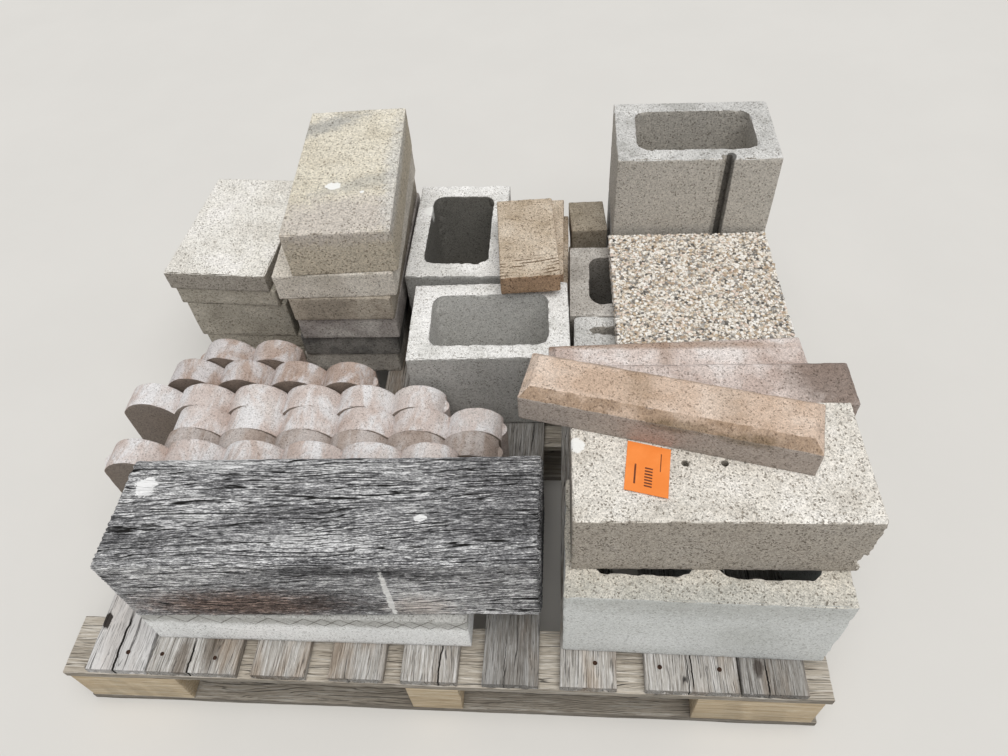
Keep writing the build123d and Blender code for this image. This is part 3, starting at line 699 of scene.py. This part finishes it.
# Rough sawn and long outdoors: white fibre over black hollows, with a rusty patch on its front
beam_grey = weathered_wood("silvered_rough_sawn_beam", "#38383A", "#8E8E90", "#F2F2F2", "X", ring=2.1,
                           # Painted light: front of 1.15 brightens the faces that look forward
                           run=0.13, contrast=0.08, crack=0.75, sway=15.0, bend=150.0, slant=2.5, front=1.15,
                           lines=((8.0, 1.2, 1.0, 0.46), (3.3, 0.6, 0.85, 0.43)),
                           shades=((-0.06, (-0.13, -0.452, 0.275), (60, 30, 50), 1.6, 0.6),
                                   (-0.05, (-0.10, -0.446, 0.375), (190, 40, 14), 1.8, 0.6),
                                   (-0.06, (-0.30, -0.325, 0.398), (30, 16, 20), 1.6, 0.6),
                                   (-0.04, (0.12, -0.35, 0.398), (120, 70, 30), 1.6, 0.7),
                                   (0.05, (-0.335, -0.375, 0.398), (34, 16, 20), 1.6, 0.5),
                                   (0.06, (-0.16, -0.412, 0.398), (110, 22, 20), 2.0, 0.6),
                                   (0.05, (-0.25, -0.282, 0.398), (230, 12, 20), 1.2, 0.6),
                                   (0.06, (-0.01, -0.452, 0.270), (50, 30, 45), 1.6, 0.4)),
                           marks=(("#B08468", 0.75, (-0.27, -0.455, 0.275), (150, 30, 45), 1.4, 0.5),
                                  ("#C9B8AB", 0.6, (-0.01, -0.455, 0.262), (55, 30, 40), 1.4, 0.5),
                                  ("#3A393A", 0.8, (0.175, -0.38, 0.30), (14, 200, 95), 0.6, 0.4)),
                           splashes=(("#FFFFFF", 1.0, (-0.4186, -0.3258, 0.398), (16, 17, 20), 2.4, 0.05),
                                     ("#FFFFFF", 1.0, (-0.0015, -0.369, 0.398), (8, 5.5, 20), 2.0, 0.05),
                                     ("#FAF9F7", 0.95, (-0.052, -0.452, 0.30), (5.0, 40, 80), 2.2, 0.15)))

# Finishes of the small things and the floor

# Bright coated card with a slight sheen
tag_orange = plain_coat("printed_orange_card", "#F08A40", "#F6934A", 0.45, 30.0, 0.2)
# Thin brown black print, faded unevenly
ink = plain_coat("faded_printing_ink", "#5E3424", "#7A4630", 0.6, 8.0, 0.05)
# Dark scaly rust
rust = plain_coat("rusted_nail_heads", "#2B1D16", "#4A3325", 0.8, 3.0, 0.5)
# Matt and almost even, so that only the shadow shows on it
floor_paint = plain_coat("pale_studio_floor", "#D4D2CE", "#D6D4D0", 0.9, 400.0, 0.1)

# Rows of scalloped edgers, on the left

# From hump to hump, half of an end hump, the humps' height, the thickness and the tongue's radius
PITCH, HALF, RISE, THICK, SPUR = 101.6 * MM, 46 * MM, 29 * MM, 50.8 * MM, 16 * MM


def hump_at(along, humps):
    """The height of the humps over the foot, at a place counted from the first hump's middle."""
    number = min(max(round(along / PITCH), 0), humps - 1)
    off = abs(along - number * PITCH)
    reach = HALF if along < 0 or along > (humps - 1) * PITCH else PITCH / 2
    radius = (reach * reach + RISE * RISE) / (2 * RISE)
    return math.sqrt(radius * radius - off * off) - radius + RISE if off < reach else 0.0


def scalloped(node, humps, spur_right, turn, material, seed):
    """A scalloped edger: a straight foot, a round hump every pitch, a tongue at one end and a socket at
    the other."""
    low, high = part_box(node)
    height = high.z - low.z
    foot = height - RISE
    length = (humps - 1) * PITCH + 2 * HALF
    bm = block(length, THICK, height)
    break_edges(bm, 1.5 * MM)
    grid(bm, (3.6 * MM, 4.6 * MM, 10 * MM))
    columns = {round(v.co.x, 6) for v in bm.verts}
    valleys = [HALF - length / 2 + (k + 0.5) * PITCH for k in range(humps - 1)]
    nearest = {min(columns, key=lambda column: abs(column - valley)): valley for valley in valleys}
    tongue = 1 if spur_right else -1
    for v in bm.verts:
        v.co.x = nearest.get(round(v.co.x, 6), v.co.x)
        side = math.copysign(1, v.co.x)
        if length / 2 - abs(v.co.x) < 0.1 * MM:
            radius = SPUR if side == tongue else SPUR + 1.5 * MM
            reach = math.sqrt(max(0.0, radius ** 2 - v.co.y ** 2))
            v.co.x += tongue * max(0.0, reach - SPUR / 2)
        v.co.z *= (foot + max(0.0, hump_at(v.co.x + length / 2 - HALF, humps))) / height
    weather(bm, seed, rough=0.25, wave=0.5, chip=1.8, chip_size=11.0, round_axis=True)
    bmesh.ops.translate(bm, verts=bm.verts, vec=(length / 2, THICK / 2, 0))
    cosine, sine = math.cos(math.radians(turn)), abs(math.sin(math.radians(turn)))
    start = low.x if spur_right else high.x - length * cosine - THICK * sine
    corner = (start, high.y - THICK * cosine, low.z)
    return show(bm, "cast_" + node, material, (node,), corner, turn)


for number, (humps, spur_right, turn, material) in enumerate([
        (6, False, 0.0, edger_pink), (6, True, 0.0, edger_dark), (6, True, 0.0, edger_pink),
        (6, True, 0.0, edger_pink), (4, True, -1.2, edger_brown), (2, False, -1.5, edger_brown)], 1):
    scalloped(f"scalloped_edger_{number}", humps, spur_right, turn, material, number)

# Stacks of slabs

for number, (turn, material, step) in enumerate([
        (-1, slab_brown, 8.0), (0, slab_brown, 8.0), (-1, slab_brown, 6.0), (-3, slab_brown, 6.0),
        (-3.5, slab_grey, 4.0)], 1):
    worn_slab(f"left_slab_{number}", turn, material, "slab_concrete", 20 + number, step, chip=6.0,
              chip_size=20.0)
for number, (turn, material, step) in enumerate([
        (0.5, cap_lowest, 8.0), (1, cap_black, 8.0), (0.7, cap_purple, 8.0), (1.2, cap_brown, 6.0),
        (2.5, cap_light, 5.0)], 1):
    worn_slab(f"cap_slab_{number}", turn, material, "cap_concrete", 30 + number, step)
worn_slab("thick_stone", 4, stone, "stone_concrete", 41, 4.0, chip=5.0)

# Blocks

hollow_block("turned_block", 2, grey_block, 51, (38, 32))
hollow_block("middle_block", 0, grey_block, 52, (32, 38))
hollow_block("right_front_block", 0, grey_block, 53, (32, 38), fineness=5)
hollow_block("right_middle_block", 0, dusty_block, 54, (38, 32), fineness=5)
hollow_block("right_back_block", 0, grey_block, 55, (38, 32), fineness=5)
hollow_block("sash_block", 0, sash_grey, 56, (38, 32), groove=(48.5, 18))
hollow_block("lower_block", -0.7, lower_grey, 57, (38, 38), cores=2, fineness=6,
             bites=((198, 60, 190, 22, 1), (200, -10, 196, 12, 2)))

middle, (length, depth, height) = size_of("slotted_block", 0)
bm = block(length, depth, height)
break_edges(bm, BLOCK_ARRIS)
slot_half, slot_left, slot_back = 45 * MM, 28 * MM, 35 * MM
lens = bmesh.new()
bmesh.ops.create_cone(lens, cap_ends=True, segments=32, radius1=slot_half, radius2=slot_half, depth=240 * MM)
bmesh.ops.scale(lens, verts=lens.verts, vec=(1, 0.24, 1))
bmesh.ops.translate(lens, verts=lens.verts,
                    vec=(slot_left + slot_half - length / 2, depth / 2 - slot_back, height))
cut(bm, lens)
crisp(bm, 6)
weather(bm, 58)
show(bm, "moulded_slotted_block", sash_grey, ("slotted_block",), middle, 0)

middle, (length, depth, height) = size_of("upper_block", 1)
bm = block(length, depth, height)
break_edges(bm, BLOCK_ARRIS)
hole_radius = 5 * MM
for hole_x in (-45.5, 7.5):
    hole = bmesh.new()
    bmesh.ops.create_cone(hole, cap_ends=True, segments=16, radius1=hole_radius, radius2=hole_radius,
                          depth=120 * MM, matrix=Matrix.Translation((hole_x * MM, -7 * MM, height)))
    cut(bm, hole)
bite(bm, 200, -80, 30, 22, 3)
crisp(bm, 7)
weather(bm, 59, rough=0.6, chip=5.0)
show(bm, "moulded_upper_block", beige_block, ("upper_block",), middle, 1)

# Long edgers, pavers and kerb. Pieces deep in a pile have larger faces, in millimetres

HIDDEN_STEP = 9.0


def chamfered(node, turn, bevel, material, seed, step):
    """A long edger whose top edges are bevelled wide. Step is its faces' size in millimetres."""
    middle, (length, depth, height) = size_of(node, turn)
    bm = block(length, depth, height)
    top = [e for e in bm.edges if all(v.co.z > height / 2 for v in e.verts)]
    bmesh.ops.bevel(bm, geom=top, offset=bevel * MM, segments=1, profile=0.5, affect="EDGES", material=-1)
    break_edges(bm, 1.5 * MM)
    grid(bm, (step * MM,) * 3)
    weather(bm, seed, chip=2.5)
    return show(bm, "pressed_" + node, material, (node,), middle, turn)


for number, (turn, step) in enumerate(((1.0, HIDDEN_STEP), (1.5, HIDDEN_STEP), (1.3, 4.5)), 1):
    chamfered(f"near_edger_{number}", turn, 10, pink_long, 60 + number, step)
for number, (turn, step) in enumerate(((3.0, HIDDEN_STEP), (3.2, 4.5)), 1):
    chamfered(f"far_edger_{number}", turn, 10, pink_long, 65 + number, step)
chamfered("loose_edger", -13, 14, tan_long, 69, 3.5)
for number, turn in enumerate((0, 0, 0, 0, 0, 5), 1):
    worn_slab(f"brown_paver_{number}", turn, brown_paver, "brown_paver_concrete", 70 + number,
              4.0 if number == 6 else 8.0, chip=2.5)
for number, turn in enumerate((3, 2, 4), 1):
    worn_slab(f"dark_paver_{number}", turn, dark_paver, "dark_paver_concrete", 80 + number, 5.0, chip=2.5)
worn_slab("kerb_stone", 0.2, kerb, "kerb_concrete", 85, 5.0, chip=3.0)

# Paving slab with its pebbles

paving_turn, matrix_step = 1.2, 8 * MM
middle, (length, depth, height) = size_of("paving_slab", paving_turn)
matrix_sides, matrix_top = 5 * MM, 3 * MM
bm = block(length - matrix_sides, depth - matrix_sides, height - matrix_top)
grid(bm, (matrix_step,) * 3)
mark(bm, 1.0)
rng = random.Random(12)
pebble_step, under_top, side_inset = 5.8 * MM, 4.5 * MM, 3.5 * MM
lowest_row, row_rise, side_rows = 4.0 * MM, 6.8 * MM, 5
count_x, count_y = int(length / pebble_step), int(depth / pebble_step)
# Each place is a pebble's middle and the axis along which it is thin, so that it lies flat in its face
places = [((i + 0.5) * length / count_x - length / 2, (j + 0.5) * depth / count_y - depth / 2,
           height - under_top, 2) for i in range(count_x) for j in range(count_y)]
for level in range(side_rows):
    z = lowest_row + level * row_rise
    for i in range(count_x):
        along = (i + 0.5) * length / count_x - length / 2
        places += [(along, -depth / 2 + side_inset, z, 1), (along, depth / 2 - side_inset, z, 1),
                   (-length / 2 + side_inset, along, z, 0), (length / 2 - side_inset, along, z, 0)]
for x, y, z, thin in places:
    size = Vector([rng.uniform(2.2, 5.0) * MM for _ in range(3)])
    size[thin] = rng.uniform(2.4, 3.6) * MM
    turn = Matrix.Rotation(rng.uniform(0, math.pi), 4, "XYZ"[thin])
    jitter = Vector([0 if axis == thin else rng.uniform(-3.2, 3.2) * MM for axis in range(3)])
    at = Vector((x, y, z)) + jitter
    for axis, limit in ((0, length / 2), (1, depth / 2)):
        at[axis] = max(-limit + size[axis], min(limit - size[axis], at[axis])) if axis != thin else at[axis]
    pebble = bmesh.new()
    bmesh.ops.create_uvsphere(pebble, u_segments=6, v_segments=4, radius=1.0,
                              matrix=Matrix.Translation(at) @ turn @ Matrix.Diagonal((*size, 1)))
    mark(pebble, rng.uniform(0.0, 0.94))
    take_in(bm, pebble)
show(bm, "washed_pebble_slab", pebbles, ("paving_slab",), middle, paving_turn)

# Beam


def grain(bm, axis, seed, depth, width=4.0, wave=1.2, torn_ends=0.0, run=0.03):
    """Raises the grain of old wood, in millimetres: grooves along one axis, a slow wave, and torn ends."""
    bm.normal_update()
    shift = Vector((seed * 5.3, seed * 2.9, seed * 3.7))
    moves = []
    for v in bm.verts:
        place = v.co / MM
        drawn = place.copy()
        drawn[axis] *= run
        sway = Vector((4.0 * noise.noise(place / 90 + shift),) * 3)
        ridge = noise.fractal((drawn + sway) / width + shift, 0.7, 2.2, 3)
        groove = depth * max(-0.35, ridge) + wave * noise.noise(place / 110 + shift)
        facing = v.normal.copy()
        move = -facing * groove * MM
        if torn_ends and abs(facing[axis]) > 0.5:
            end = place.copy()
            end[axis] = 0
            move[axis] = -math.copysign(torn_ends * MM * abs(noise.noise(end / 9 + shift)), facing[axis])
        moves.append(move)
    for v, move in zip(bm.verts, moves):
        v.co += move


beam_long, beam_deep, beam_high, end_slant = 625 * MM, 178 * MM, 165 * MM, 6 * MM
bm = block(beam_long, beam_deep, beam_high)
bmesh.ops.bevel(bm, geom=bm.edges[:], offset=6 * MM, segments=2, profile=0.5, affect="EDGES", material=-1)
bmesh.ops.translate(bm, verts=bm.verts, vec=(beam_long / 2, beam_deep / 2, 0))
for v in bm.verts:
    v.co.x += end_slant * v.co.y / beam_deep
# The edges along the beam are cut first, and then those across it and up it
for least, cuts in ((0.5, 96), (0.1, 88)):
    edges = [e for e in bm.edges if e.calc_length() > least]
    bmesh.ops.subdivide_edges(bm, edges=edges, cuts=cuts, use_grid_fill=True)
mark(bm, 1.0)
grain(bm, 0, 3, 1.1, 3.0, torn_ends=9.0, run=0.1)
low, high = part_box("timber_beam")
beam_corner, beam_turn = (-455 * MM, -457 * MM, low.z), 2
show(bm, "rough_sawn_timber_beam", beam_grey, ("timber_beam",), beam_corner, beam_turn)

# Pallet

HALF_WIDE, HALF_DEEP, ROW_DEEP, BOARD, BLOCK_HIGH = 609.6, 508.0, 95.0, 16.0, 90.0


def boards(name, node, material, places, base, thick, axis, seed, ends=3.0, tones=(1.0,), step=7.0):
    """Several boards of one node, in millimetres: each is (left, front, width, depth)."""
    bm = bmesh.new()
    for index, (left, front, across, deep) in enumerate(places):
        part = block(across * MM, deep * MM, thick * MM)
        bmesh.ops.bevel(part, geom=part.edges[:], offset=1.2 * MM, segments=1, profile=0.5, affect="EDGES",
                        material=-1)
        along, over = (0, 1) if axis == 0 else (1, 0)
        run = [e for e in part.edges if e.calc_length() > (across, deep)[along] * MM * 0.9]
        cuts = max(2, round((across, deep)[along] / 14))
        bmesh.ops.subdivide_edges(part, edges=run, cuts=cuts, use_grid_fill=True)
        run = [e for e in part.edges if abs((e.verts[0].co - e.verts[1].co).normalized()[over]) > 0.9
               and e.calc_length() > (across, deep)[over] * MM * 0.9]
        cuts = max(2, round((across, deep)[over] / step))
        bmesh.ops.subdivide_edges(part, edges=run, cuts=cuts, use_grid_fill=True)
        middle = Vector((left + across / 2, front + deep / 2, base)) * MM
        bmesh.ops.translate(part, verts=part.verts, vec=middle)
        mark(part, tones[index % len(tones)])
        grain(part, axis, seed + index, 0.8, 4.0, 0.7, torn_ends=ends)
        take_in(bm, part)
    return show(bm, name, material, (node,))


rows = (-HALF_DEEP, -ROW_DEEP / 2, HALF_DEEP - ROW_DEEP)
long_boards = [(-HALF_WIDE, y, 2 * HALF_WIDE, ROW_DEEP) for y in rows]
block_places = [(x, y, w, ROW_DEEP) for y in rows for x, w in ((-605.6, 180), (-48.5, 85), (407.6, 192))]
# Each deck board is its left edge, its width and its tone, as the sun and the rain left it
deck = ((-564, 98, 1.1), (-462, 145, 0.9), (-292, 87, 0.85), (-167, 87, 0.76), (-52, 89, 0.85),
        (76, 87, 0.54), (196, 87, 0.9), (326, 141, 0.87), (471, 98, 0.6))
deck_places = [(x, -HALF_DEEP, w, 2 * HALF_DEEP) for x, w, tone in deck]
stringer_base = BOARD + BLOCK_HIGH
# Painted shade: a tone of 0.64 darkens the bottom boards seen in the gaps between the pallet blocks
boards("weathered_bottom_boards", "bottom_boards", frame_grey, long_boards, 0, BOARD, 0, 1,
       tones=(0.64,))
boards("weathered_stringer_boards", "stringer_boards", frame_grey, long_boards, stringer_base,
       BOARD, 0, 5)
boards("sawn_pallet_blocks", "pallet_blocks", block_yellow, block_places, BOARD, BLOCK_HIGH,
       0, 9)
boards("weathered_deck_boards", "deck_boards", deck_grey, deck_places, stringer_base + BOARD,
       BOARD, 1, 20, ends=6.0, tones=[tone for x, w, tone in deck], step=4.4)

nail_places = ((250.3, -468.8), (349.5, -471.5), (439.9, -472.0), (-502.3, -477.6), (-444.6, -478.9),
               (-355.6, -482.2))
nail_height = 137.6
bm = bmesh.new()
for x, y in nail_places:
    bmesh.ops.create_cone(bm, cap_ends=True, segments=16, radius1=4.2 * MM, radius2=3.4 * MM, depth=2.4 * MM,
                          matrix=Matrix.Translation(Vector((x, y, nail_height)) * MM))
show(bm, "rusted_nail_heads", rust)

# Orange tag on the upper block

tag_corners = ((278.4, -359.3), (334.9, -373.3), (345.5, -293.9), (287.5, -279.5))
corners = [Vector((x, y, 0)) * MM for x, y in tag_corners]
tag_height = 465.6


def on_tag(bm, left, right, low, high, lift):
    """Lays a flat grid on the tag's curled card; its bounds are shares of the card's width and length,
    and lift is in millimetres."""
    for v in bm.verts:
        across = left + (v.co.x + 0.5) * (right - left)
        up = low + (v.co.y + 0.5) * (high - low)
        wrinkle = 0.9 * abs(noise.noise(Vector((across * 3, up * 3, 0))))
        curl = max(0.0, 0.35 - up) * 5.0 * (0.6 + across) + wrinkle
        v.co = (corners[0].lerp(corners[1], across)).lerp(corners[3].lerp(corners[2], across), up)
        v.co.z = (tag_height + curl + lift) * MM
    return bm


bm = bmesh.new()
bmesh.ops.create_grid(bm, x_segments=12, y_segments=14, size=0.5)
on_tag(bm, 0, 1, 0, 1, 0)
through(bm, "SOLIDIFY", thickness=0.35 * MM, offset=1.0)
show(bm, "orange_card_tag", tag_orange)
short_bars = [(0.44, 0.62, 0.14 + 0.06 * k, 0.17 + 0.06 * k) for k in range(7)]
bm = bmesh.new()
for left, right, low, high in short_bars + [(0.2, 0.24, 0.16, 0.56), (0.78, 0.8, 0.5, 0.86)]:
    bar = bmesh.new()
    bmesh.ops.create_grid(bar, x_segments=3, y_segments=3, size=0.5)
    take_in(bm, on_tag(bar, left, right, low, high, 0.5))
show(bm, "plain_printed_bars", ink)

# Floor, light and camera

bm = bmesh.new()
bmesh.ops.create_grid(bm, x_segments=1, y_segments=1, size=6.0)
floor_mesh = bpy.data.meshes.new("studio_floor")
bm.to_mesh(floor_mesh)
bm.free()
floor_mesh.materials.append(floor_paint)
floor = bpy.data.objects.new("studio_floor", floor_mesh)
bpy.context.scene.collection.objects.link(floor)

world = bpy.data.worlds.new("soft_sky")
bpy.context.scene.world = world
world.use_nodes = True
world.node_tree.nodes["Background"].inputs["Color"].default_value = srgb("#F2F4F7")
world.node_tree.nodes["Background"].inputs["Strength"].default_value = 0.4

sun = bpy.data.objects.new("soft_key", bpy.data.lights.new("soft_key", "SUN"))
sun.data.energy = 2.5
sun.data.angle = math.radians(60)
sun.data.color = (1.0, 0.985, 0.96)
sun.rotation_euler = Vector((-0.14, 0.33, -1.0)).to_track_quat("-Z", "Y").to_euler()
bpy.context.scene.collection.objects.link(sun)

# The camera as it was solved: its turn in radians, its focal length and frame width in pixels, its place
pitch, roll, pan = 0.86304949, 0.08244615, 0.11756027
focal_pixels, frame_pixels, sensor_mm = 765.2184662, 1008, 36.0
camera_place = (0.19687, -0.90711, 1.33650)
forward = Vector((-math.sin(pan) * math.cos(pitch), math.cos(pan) * math.cos(pitch), -math.sin(pitch)))
level = Vector((math.cos(pan), math.sin(pan), 0))
below = forward.cross(level)
right = level * math.cos(roll) + below * math.sin(roll)
down = below * math.cos(roll) - level * math.sin(roll)
camera = bpy.data.objects.new("camera", bpy.data.cameras.new("camera"))
camera.data.sensor_width = sensor_mm
camera.data.lens = focal_pixels * sensor_mm / frame_pixels
camera.matrix_world = (Matrix.Translation(camera_place)
                       @ Matrix((right, -down, -forward)).transposed().to_4x4())
bpy.context.scene.collection.objects.link(camera)
bpy.context.scene.camera = camera
bpy.context.scene.view_settings.view_transform = "Standard"
